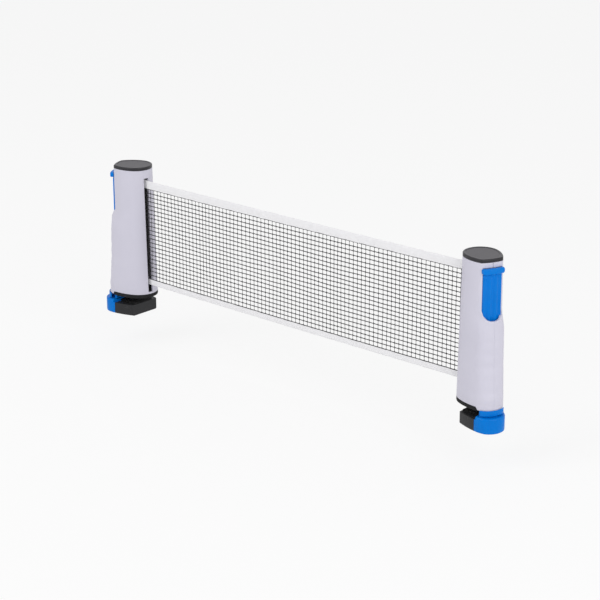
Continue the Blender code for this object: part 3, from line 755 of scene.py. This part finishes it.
def sliderSection(inset=0.0):
    # a fluted face, rounded edges and two side walls, open behind
    half = slider["half"] - inset
    points = []
    steps = 48
    for i in range(steps + 1):
        t = -1 + 2 * i / steps
        y = half * t
        dip = slider["fluteDepth"] * (0.5 - 0.5 * cos(pi * slider["flutes"] * (t + 1)))
        edge = max(abs(t) - (1 - slider["edgeShare"]), 0) / slider["edgeShare"]
        fall = slider["edgeRound"] * (1 - sqrt(max(1 - edge * edge, 0)))
        points.append(Vector((faceCurve(slider["apex"], y) - dip - fall - inset, y)))
    inside, back = half - slider["wall"], slider["back"]
    inner = faceLine(slider["apex"] - slider["wall"] - slider["innerDrop"], inside, 6)
    return (points + [Vector((back, half)), Vector((back, inside))] + inner
            + [Vector((back, -inside)), Vector((back, -half))])


def addSliderBody(side, bm):
    body = bmesh.new()
    levels = [(z, 0.0) for z in (slider["cutHeight"],) + slider["levels"]]
    levels += [(slider["top"] - drop, inset) for drop, inset in slider["topRound"]]
    addLoft(body, roundedRing(side, [sliderSection(i) for z, i in levels], [z for z, i in levels]))
    mergeInto(bm, body)
    lower = bmesh.new()
    levels = [(slider["bottom"], 0.0), (slider["cutHeight"], 0.0)]
    addLoft(lower, roundedRing(side, [sliderSection() for z in levels], [z for z, i in levels]))
    cutAcross(lower, side, post["tableEdge"], False)
    mergeInto(bm, lower)
    shelf = bmesh.new()
    spec = slider["shelf"]
    half = slider["half"] - spec["inset"]
    plan = faceLine(slider["apex"] - spec["inset"], half) + backLine(half)
    levels = [slider["top"] - spec["low"], slider["top"] - spec["high"]]
    addLoft(shelf, roundedRing(side, [plan, plan], levels))
    mergeInto(bm, shelf)


def addLip(side, bm):
    # a thumb ledge curved with the face, rounded at its edges and both ends
    steps = 36
    low, high = slider["lipLow"], slider["lipHigh"]
    near, far = slider["lipNear"], slider["lipFar"]
    endShare = slider["lipEnd"] / slider["lipHalf"]
    halfU, halfZ = (far - near) / 2, (high - low) / 2
    section = []
    for cu, cz, start in ((1, 1, 0), (-1, 1, 90), (-1, -1, 180), (1, -1, 270)):
        r = slider["lipRound"] if cu > 0 else slider["lipInnerRound"]
        for j in range(5):
            a = radians(start + 90 * j / 4)
            section.append((cu * (halfU - r) + r * cos(a), cz * (halfZ - r) + r * sin(a)))
    rings = []
    for i in range(steps + 1):
        t = -cos(pi * i / steps)
        y = slider["lipHalf"] * t
        k = max(abs(t) - (1 - endShare), 0) / endShare
        scale = max(sqrt(max(1 - k * k, 0)), slider["lipLeast"])
        middleU, middleZ = (near + far) / 2 + faceCurve(0.0, y), (low + high) / 2
        keep = slider["lipKeep"] + (1 - slider["lipKeep"]) * scale
        rings.append([toWorld(side, middleU + du * keep, y, middleZ + dz * scale)
                      for du, dz in section])
    lip = bmesh.new()
    addLoft(lip, rings)
    mergeInto(bm, lip)
    web = bmesh.new()
    spec = slider["web"]
    half = slider["half"] - spec["inset"]
    plan = faceLine(slider["apex"] - spec["drop"], half) + list(reversed(faceLine(near, half)))
    addLoft(web, roundedRing(side, [plan, plan], [slider["top"] - spec["low"], low + spec["high"]]))
    mergeInto(bm, web)


foot = {
    "top": -0.0060,
    "bottom": -0.0240,
    "cornerX": 0.0330,
    "cornerY": 0.0154,
    "bulge": 0.0082,
    "rounding": 0.0050,
    "growth": 0.0015,
    "edge": 0.0018,
    "seat": -0.0098,
    "joint": 0.0145,
    "jawEnd": -0.0110,
    "jawEdge": 0.0006,
}


def footLoft(side, top, roundTop):
    bm = bmesh.new()
    edge = foot["edge"]
    steps = [(i, foot["bottom"] + edge - r) for i, r in reversed(edgeCurve(edge, edge, 4))]
    if roundTop:
        steps += [(i, top - edge + r) for i, r in edgeCurve(edge, edge, 4)]
    else:
        steps.append((0.0, top))
    plans = [postPlan(foot["growth"] - i, foot["cornerX"] - i, foot["cornerY"] - i,
                      foot["bulge"], foot["rounding"]) for i, z in steps]
    addLoft(bm, roundedRing(side, plans, [z for i, z in steps]))
    return bm


collar = {
    "clear": 0.0005, "thick": 0.0009, "top": 0.0018, "low": -0.0059, "half": 0.0139, "edge": 0.0005,
    "groove": 0.0009, "flange": 0.0030, "endRound": 0.0016, "faceFrom": 0.0245, "endLeast": 0.25,
    "endHeight": 0.7,
    "innerBevel": (0.0002, 0.0003),
    "lowerBevel": ((0.0, 0.0022), (0.0003, 0.0016)),
    "grooveHigh": 0.0012, "grooveLow": -0.0014,
}


def addCollar(side, bm):
    # a band that rises from the foot in front of the grip's lower edge
    plan = housingPlan(shell["skirt"], fine=2)
    points = sorted((p for p in plan if abs(p.y) <= collar["half"] and p.x > collar["faceFrom"]),
                    key=lambda p: p.y)
    clear, edge, top, low = collar["clear"], collar["edge"], collar["top"], collar["low"]
    outer, flange, footTop = clear + collar["thick"], collar["flange"], foot["top"]
    neck = outer - collar["groove"]
    bevelIn, bevelDown = collar["innerBevel"]
    profile = [(clear, low), (clear, top - bevelDown), (clear + bevelIn, top)]
    for i in range(5):
        a = pi / 2 * i / 4
        profile.append((outer - edge * (1 - sin(a)), top - edge * (1 - cos(a))))
    profile += [(outer - inset, footTop + rise) for inset, rise in collar["lowerBevel"]]
    grooveLow = footTop + collar["grooveLow"]
    profile += [(neck, footTop + collar["grooveHigh"]), (neck, grooveLow), (-flange, grooveLow),
                (-flange, low)]
    rings = []
    last = len(points) - 1
    for i, p in enumerate(points):
        along = (points[min(i + 1, last)] - points[max(i - 1, 0)]).normalized()
        normal = Vector((along.y, -along.x))
        endFar = collar["half"] - abs(p.y)
        keep = max(sqrt(max(1 - (1 - min(endFar / collar["endRound"], 1)) ** 2, 0)), collar["endLeast"])
        ring = []
        for d, z in profile:
            q = p + normal * (clear + (d - clear) * keep if d > clear else d)
            height = collar["endHeight"] + (1 - collar["endHeight"]) * keep
            ring.append(toWorld(side, q.x, q.y, z if z < 0 else z * height))
        rings.append(ring)
    made = bmesh.new()
    addLoft(made, rings)
    mergeInto(bm, made)


def buildSlider(side):
    bm = bmesh.new()
    addSliderBody(side, bm)
    addLip(side, bm)
    addCollar(side, bm)
    lower = footLoft(side, foot["seat"], False)
    cutAcross(lower, side, foot["joint"], False)
    cutAcross(lower, side, post["tableEdge"], True)
    mergeInto(bm, lower)
    upper = footLoft(side, foot["top"], True)
    cutAcross(upper, side, post["tableEdge"], False)
    mergeInto(bm, upper)
    neck = bmesh.new()
    half = slider["neckHalf"]
    plan = faceLine(slider["neckApex"], half) + backLine(half)
    addLoft(neck, roundedRing(side, [plan, plan], [foot["top"] - 0.001, slider["neckTop"]]))
    cutAcross(neck, side, post["tableEdge"], False)
    mergeInto(bm, neck)
    makePiece(side + "ClampSlider", bm, side + "_clamp", "slider_plastic", (side + "_clamp_slider",), 40)


def buildJaw(side):
    bm = footLoft(side, foot["seat"], False)
    cutAcross(bm, side, foot["joint"] - post["gap"], True)
    cutAcross(bm, side, foot["jawEnd"], False)
    made = makePiece(side + "JawBlock", bm, side + "_clamp", "dark_plastic", (side + "_jaw_block",), 40)
    softenEdges(made, foot["jawEdge"], 60)


# "rib" is pairs: how far along the rib, and how high as a share
jawPad = {
    "start": -0.0100, "end": 0.0160, "half": 0.0150, "low": -0.0095, "high": -0.0080, "ribs": 9,
    "solidShare": 0.55,
    "rib": ((0.06, 0.45), (0.16, 0.9), (0.30, 1.0), (0.70, 1.0), (0.84, 0.9), (0.94, 0.45)),
}


def buildJawPad(side):
    # rubber with ribs across the jaw
    base, way = alongNet(side)
    line = [(jawPad["start"], jawPad["low"])]
    pitch = (jawPad["end"] - jawPad["start"]) / jawPad["ribs"]
    thickness = jawPad["high"] - jawPad["low"]
    for i in range(jawPad["ribs"]):
        x = jawPad["start"] + pitch * i
        for part, height in jawPad["rib"]:
            share = jawPad["solidShare"] + (1 - jawPad["solidShare"]) * height
            line.append((x + pitch * part, jawPad["low"] + thickness * share))
    line.append((jawPad["end"], jawPad["low"]))
    rings = []
    for y in (-jawPad["half"], jawPad["half"]):
        rings.append([Vector((base + way * x, y, z)) for x, z in line])
    bm = bmesh.new()
    addLoft(bm, rings)
    makePiece(side + "JawPad", bm, side + "_clamp", "pad_rubber", (side + "_jaw_pad",), 50)


# "headLine" is pairs: a share of the head's radius, and how far past the seat
screw = {
    "x": 0.0075, "radius": 0.0013, "rootShare": 0.80, "turns": 14, "threadLength": 0.0150,
    "around": 24, "head": 0.0023, "tip": -0.0125, "seat": 0.0160, "centre": 0.0002,
    "headLine": ((0.94, 0.0), (1.0, 0.0002), (1.0, 0.0006), (0.92, 0.0010), (0.70, 0.0013), (0.40, 0.0014)),
    "headThick": 0.0014, "crossLong": 0.0017, "crossThin": 0.00032,
    "crossLevels": ((0.0006, 0.6), (0.0022, 1.0)),
    "heights": (("lower", 0.0113), ("upper", 0.1577)),
}


def cutCross(side, z, made):
    # a cross slot in the screw's head
    cross = bmesh.new()
    for a, b in ((screw["crossThin"], screw["crossLong"]), (screw["crossLong"], screw["crossThin"])):
        ring = [(-a, -b), (a, -b), (a, b), (-a, b)]
        addLoft(cross, [[toWorld(side, screw["x"] + p * k, screw["seat"] + y, z + q * k) for p, q in ring]
                        for y, k in screw["crossLevels"]])
    bmesh.ops.recalc_face_normals(cross, faces=cross.faces)
    tool = meshObject("cross", cross)
    cut = made.modifiers.new("cross", "BOOLEAN")
    cut.operation = "DIFFERENCE"
    cut.solver = "EXACT"
    cut.use_self = True
    cut.object = tool
    bpy.context.view_layer.update()
    graph = bpy.context.evaluated_depsgraph_get()
    fresh = bpy.data.meshes.new_from_object(made.evaluated_get(graph))
    made.modifiers.clear()
    made.data = fresh
    bpy.data.objects.remove(tool, do_unlink=True)


def buildScrews(side):
    for label, z in screw["heights"]:
        bm = bmesh.new()
        r, h = screw["radius"], screw["head"]
        line = [(screw["centre"], screw["tip"]), (r * 0.7, screw["tip"] + 0.0012)]
        half = screw["turns"] * 2
        for i in range(half + 1):
            along = screw["tip"] + 0.0014 + screw["threadLength"] * i / half
            line.append((r if i % 2 else r * screw["rootShare"], along))
        seat = screw["seat"]
        line.append((r, seat))
        line += [(h * share, seat + rise) for share, rise in screw["headLine"]]
        line.append((screw["centre"], seat + screw["headThick"]))
        angles = [2 * pi * k / screw["around"] for k in range(screw["around"])]
        addLoft(bm, [[toWorld(side, screw["x"] + radius * cos(a), y, z + radius * sin(a)) for a in angles]
                     for radius, y in line])
        made = makePiece(side + label.capitalize() + "Screw", bm, side + "_post", "steel",
                         (f"{side}_{label}_shell_screw",), 40)
        cutCross(side, z, made)


spring = {"axis": 0.0186, "radius": 0.0026, "wire": 0.00045, "turns": 12, "perTurn": 22, "around": 8,
          "low": 0.0853, "high": 0.1479}


def buildSpring(side):
    # a compression coil with closed, ground ends
    bm = bmesh.new()
    turns, around, wire = spring["turns"], spring["around"], spring["wire"]
    total = turns * spring["perTurn"]
    low, high = spring["low"] + wire, spring["high"] - wire
    pitch = (high - low) / turns
    rings = []
    for i in range(total + 1):
        t = i / total
        a = 2 * pi * i / spring["perTurn"]
        closed = eased(min(t, 1 - t) * turns)
        z = low + (high - low) * t
        if t * turns < 1:
            z = low + pitch * closed * t * turns
        if (1 - t) * turns < 1:
            z = high - pitch * closed * (1 - t) * turns
        ring = []
        for k in range(around):
            b = 2 * pi * k / around
            r = spring["radius"] + wire * cos(b)
            ring.append(toWorld(side, spring["axis"] + r * cos(a), r * sin(a), z + wire * sin(b)))
        rings.append(ring)
    addLoft(bm, rings)
    made = makePiece(side + "ClampSpring", bm, side + "_post", "steel", (side + "_clamp_spring",), 60)
    axis = toWorld(side, spring["axis"], 0, 0.085)
    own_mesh(made)


for side in sideNames:
    buildShell(side, True)
    buildShell(side, False)
    buildChannel(side)
    buildCap(side)
    buildPad(side)
    buildSlider(side)
    buildJaw(side)
    buildJawPad(side)
    buildScrews(side)
    buildSpring(side)
    print(side, "post built")


net = {
    "start": 0.0165, "end": 0.5240, "top": 0.1525, "topTape": 0.0099, "bottom": 0.0179,
    "bottomTape": 0.0072, "rows": 22, "columns": 84, "rowCord": 0.00050, "columnCord": 0.00024,
    "knot": 0.00060, "edgeGap": 0.0004, "hemPitch": 0.0009, "hemCords": 5, "lean": 0.0019,
    "sag": 0.0006, "bow": 0.0005, "waviness": 0.00016, "flatness": 0.7, "around": 5,
    "creep": ((0.0011, 2.3, 0.6), (0.0006, 5.1, 1.9)),
}


def netLean(x):
    # the net runs a little higher at the anchor post
    t = (x - net["start"]) / (net["end"] - net["start"])
    return net["lean"] * (2 * t - 1) - net["sag"] * 4 * t * (1 - t)


def columnShift(t):
    # the cords have crept along the tapes, so the columns bunch and spread
    return sum(size * sin(2 * pi * t * waves + start) for size, waves, start in net["creep"])


def cordPoint(i, k, low, high):
    # where column i meets row k; fractions are allowed
    t = i / net["columns"]
    ends = min(t, 1 - t) * 8
    x = net["start"] + (net["end"] - net["start"]) * t + columnShift(t) * min(ends, 1)
    v = k / net["rows"]
    z = low + (high - low) * v
    x += net["bow"] * sin(pi * v) * sin(i * 0.9) * min(ends, 1)
    z += net["waviness"] * sin(i * 0.55 + k * 1.3) * min(v, 1 - v) * 4 * min(ends, 1)
    y = net["bow"] * sin(i * 0.21) * sin(pi * v)
    return Vector((x, y, z + netLean(x)))


def addCord(bm, points, radii):
    angles = [2 * pi * k / net["around"] for k in range(net["around"])]
    rings = []
    count = len(points)
    for i, p in enumerate(points):
        along = (points[min(i + 1, count - 1)] - points[max(i - 1, 0)]).normalized()
        side = along.cross(Vector((0, 1, 0))).normalized()
        other = along.cross(side)
        r = radii[i]
        rings.append([p + side * r * cos(a) + other * r * net["flatness"] * sin(a) for a in angles])
    addLoft(bm, rings)


def buildNet():
    bm = bmesh.new()
    low = net["bottom"] + net["bottomTape"] + net["edgeGap"]
    high = net["top"] - net["topTape"] - net["edgeGap"]
    rows, columns = net["rows"], net["columns"]
    for k in range(rows + 1):
        points, radii = [], []
        for i in range(columns * 2 + 1):
            points.append(cordPoint(i / 2, k, low, high))
            radii.append(net["rowCord"] if i % 2 else net["knot"])
        addCord(bm, points, radii)
    length = net["end"] - net["start"]
    hem = [columns - net["hemPitch"] * n / length * columns for n in range(net["hemCords"])]
    for i in list(range(1, columns - 1)) + hem:
        points, radii = [], []
        for k in range(rows * 2 + 1):
            points.append(cordPoint(i, k / 2, low, high))
            radii.append(net["columnCord"] if k % 2 else net["knot"])
        addCord(bm, points, radii)
    return makePiece("netMesh", bm, None, "net_cord", ("net_mesh",), 80)


# "profile" is pairs: half the thickness as a share, and the height as a share
tape = {
    "steps": 170,
    "half": 0.00055,
    "innerThin": 0.45,
    "innerHigh": 0.985,
    "wave": ((0.00018, 0.53, 0), (0.00012, 1.37, 1)),
    "edgeWave": (0.00010, 0.91),
    "profile": ((1, 0.0), (1, 0.12), (1.1, 0.3), (1.15, 0.55), (1.0, 0.8), (0.75, 0.94), (0.3, 1.0)),
}


def tapeStrip(name, node, z0, z1, fold):
    # a woven strip folded over the net's edge, with its two lower edges turned in
    bm = bmesh.new()
    steps = tape["steps"]
    profile = [(share * tape["half"], z) for share, z in tape["profile"]]
    full = profile + [(-y, z) for y, z in reversed(profile)]
    inner = [(y * tape["innerThin"], z * tape["innerHigh"]) for y, z in reversed(full)]
    rings = []
    height = z1 - z0
    for i in range(steps + 1):
        t = i / steps
        x = net["start"] + (net["end"] - net["start"]) * t
        lean = netLean(x)
        wave = sum(size * sin(i * pace + start) for size, pace, start in tape["wave"])
        edge = tape["edgeWave"][0] * sin(i * tape["edgeWave"][1])
        ring = []
        for y, z in full + inner:
            z = z if fold > 0 else 1 - z
            ring.append(Vector((x, y + wave, z0 + height * z + lean + edge)))
        rings.append(ring)
    addLoft(bm, rings)
    return makePiece(name, bm, None, "tape_cloth", (node,), 60)


def evenBlend(piece):
    # the net draws out and in evenly between the two posts
    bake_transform(piece, "reel_post", "anchor_post", (net["start"], 0, 0), (net["end"], 0, 0))
    values = piece.data.attributes["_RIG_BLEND"].data
    for vertex, value in zip(piece.data.vertices, values):
        value.value = min(max((vertex.co.x - net["start"]) / (net["end"] - net["start"]), 0), 1)


netMesh = buildNet()
topTape = tapeStrip("netTopTape", "net_top_tape", net["top"] - net["topTape"], net["top"], 1)
bottomTape = tapeStrip("netBottomTape", "net_bottom_tape",
                       net["bottom"], net["bottom"] + net["bottomTape"], -1)
for piece in (netMesh, topTape, bottomTape):
    evenBlend(piece)

# 21 is the fewest turns that hold the 1.2 m the joint can pull out
roll = {"x": 0.003625, "y": 0.00169, "inner": 0.0066, "outer": 0.0123, "turns": 21, "perTurn": 30,
        "low": 0.0166, "high": 0.1525, "levels": (0.060, 0.085, 0.110)}


def buildRoll():
    # the rest of the net, wound on the spool
    bm = bmesh.new()
    total = roll["turns"] * roll["perTurn"]
    tapeTop, tapeLow = roll["high"] - net["topTape"], roll["low"] + net["bottomTape"]
    levels = (roll["low"], tapeLow) + roll["levels"] + (tapeTop, roll["high"])
    rings = []
    for i in range(total + 1):
        a = 2 * pi * i / roll["perTurn"]
        r = roll["inner"] + (roll["outer"] - roll["inner"]) * i / total
        p = Vector((roll["x"] + r * cos(a), roll["y"] + r * sin(a), 0))
        rings.append([Vector((p.x, p.y, z)) for z in levels])
    addLoft(bm, rings, closed=False, caps=False)
    made = makePiece("netRoll", bm, "reel", "net_cord", ("wound_net",), 60)
    made.data.materials.append(finishes["tape_cloth"])
    for polygon in made.data.polygons:
        if not tapeLow <= polygon.center.z <= tapeTop:
            polygon.material_index = 1


buildRoll()
print("net built")

# solids that stay as they are get the same finishes
keptSlots = {entry["node"]: entry["material_slot"] for entry in frame["record"]["subparts"]}
for name, made in frame["nodes"].items():
    if made.hide_render or made.type != "MESH":
        continue
    made.data.materials.clear()
    made.data.materials.append(finishes[keptSlots[name]])

studio = {
    "floorHeight": -0.0645,
    "floorSize": 30.0,
    "floorColour": (0.90, 0.90, 0.90, 1),
    "white": (1, 1, 1, 1),
    "whiteShare": 0.80,
    "worldLight": 0.60,
    "key": {"energy": 15.5, "size": 1.4, "place": (-0.5, -1.7, 1.7)},
    "fill": {"energy": 16.0, "size": 1.6, "place": (2.2, -0.6, 0.9)},
    "target": (0.27, 0.0, 0.07),
}


def buildFloor():
    bm = bmesh.new()
    bmesh.ops.create_grid(bm, x_segments=1, y_segments=1, size=studio["floorSize"] / 2)
    floor = meshObject("floor", bm)
    floor.location = (studio["target"][0], 0, studio["floorHeight"])
    f = Finish("floorWhite")
    f.done(Base_Color=studio["floorColour"], Roughness=0.9)
    plain = Wire(f.tree, f.shader.outputs[0])
    white = f.node("ShaderNodeEmission", {}, {"Color": studio["white"], "Strength": 1.0})
    f.mixShader(f.lightPath() * studio["whiteShare"], plain, white, "Material Output")
    floor.data.materials.append(f.material)


def buildWorld():
    world = bpy.data.worlds.new("studio")
    bpy.context.scene.world = world
    world.use_nodes = True
    n = Network(world.node_tree)
    background = n.tree.nodes["Background"]
    connect(n.tree, background.inputs["Color"], studio["white"])
    connect(n.tree, background.inputs["Strength"], studio["worldLight"])
    light = Wire(n.tree, background.outputs[0])
    white = n.node("ShaderNodeBackground", {}, {"Color": studio["white"], "Strength": 1.0})
    n.mixShader(n.lightPath(), light, white, "World Output")


def buildLamp(name, spec):
    lamp = bpy.data.lights.new(name, "AREA")
    lamp.energy = spec["energy"]
    lamp.size = spec["size"]
    made = bpy.data.objects.new(name, lamp)
    made.location = spec["place"]
    aim = Vector(studio["target"]) - Vector(spec["place"])
    made.rotation_euler = aim.to_track_quat("-Z", "Y").to_euler()
    bpy.context.scene.collection.objects.link(made)


shot = {"azimuth": 42.563, "elevation": 19.097, "roll": -0.188, "lens": 114.85, "sensor": 36,
        "clip": (0.05, 50), "place": (1.69823, -1.54645, 0.78141)}


def buildCamera():
    camera = bpy.data.cameras.new("camera")
    camera.sensor_width = shot["sensor"]
    camera.lens = shot["lens"]
    camera.clip_start, camera.clip_end = shot["clip"]
    made = bpy.data.objects.new("camera", camera)
    bpy.context.scene.collection.objects.link(made)
    a, e = radians(shot["azimuth"]), radians(shot["elevation"])
    right = Vector((cos(a), sin(a), 0))
    forward = Vector((-sin(a) * cos(e), cos(a) * cos(e), -sin(e)))
    up = right.cross(forward)
    turn = Matrix((right, up, -forward)).transposed().to_4x4()
    tilt = Matrix.Rotation(radians(shot["roll"]), 4, "Z")
    made.matrix_world = Matrix.Translation(shot["place"]) @ turn @ tilt
    bpy.context.scene.camera = made


buildFloor()
buildWorld()
buildLamp("key", studio["key"])
buildLamp("fill", studio["fill"])
buildCamera()
bpy.context.scene.view_settings.view_transform = "Standard"
print("studio ready")
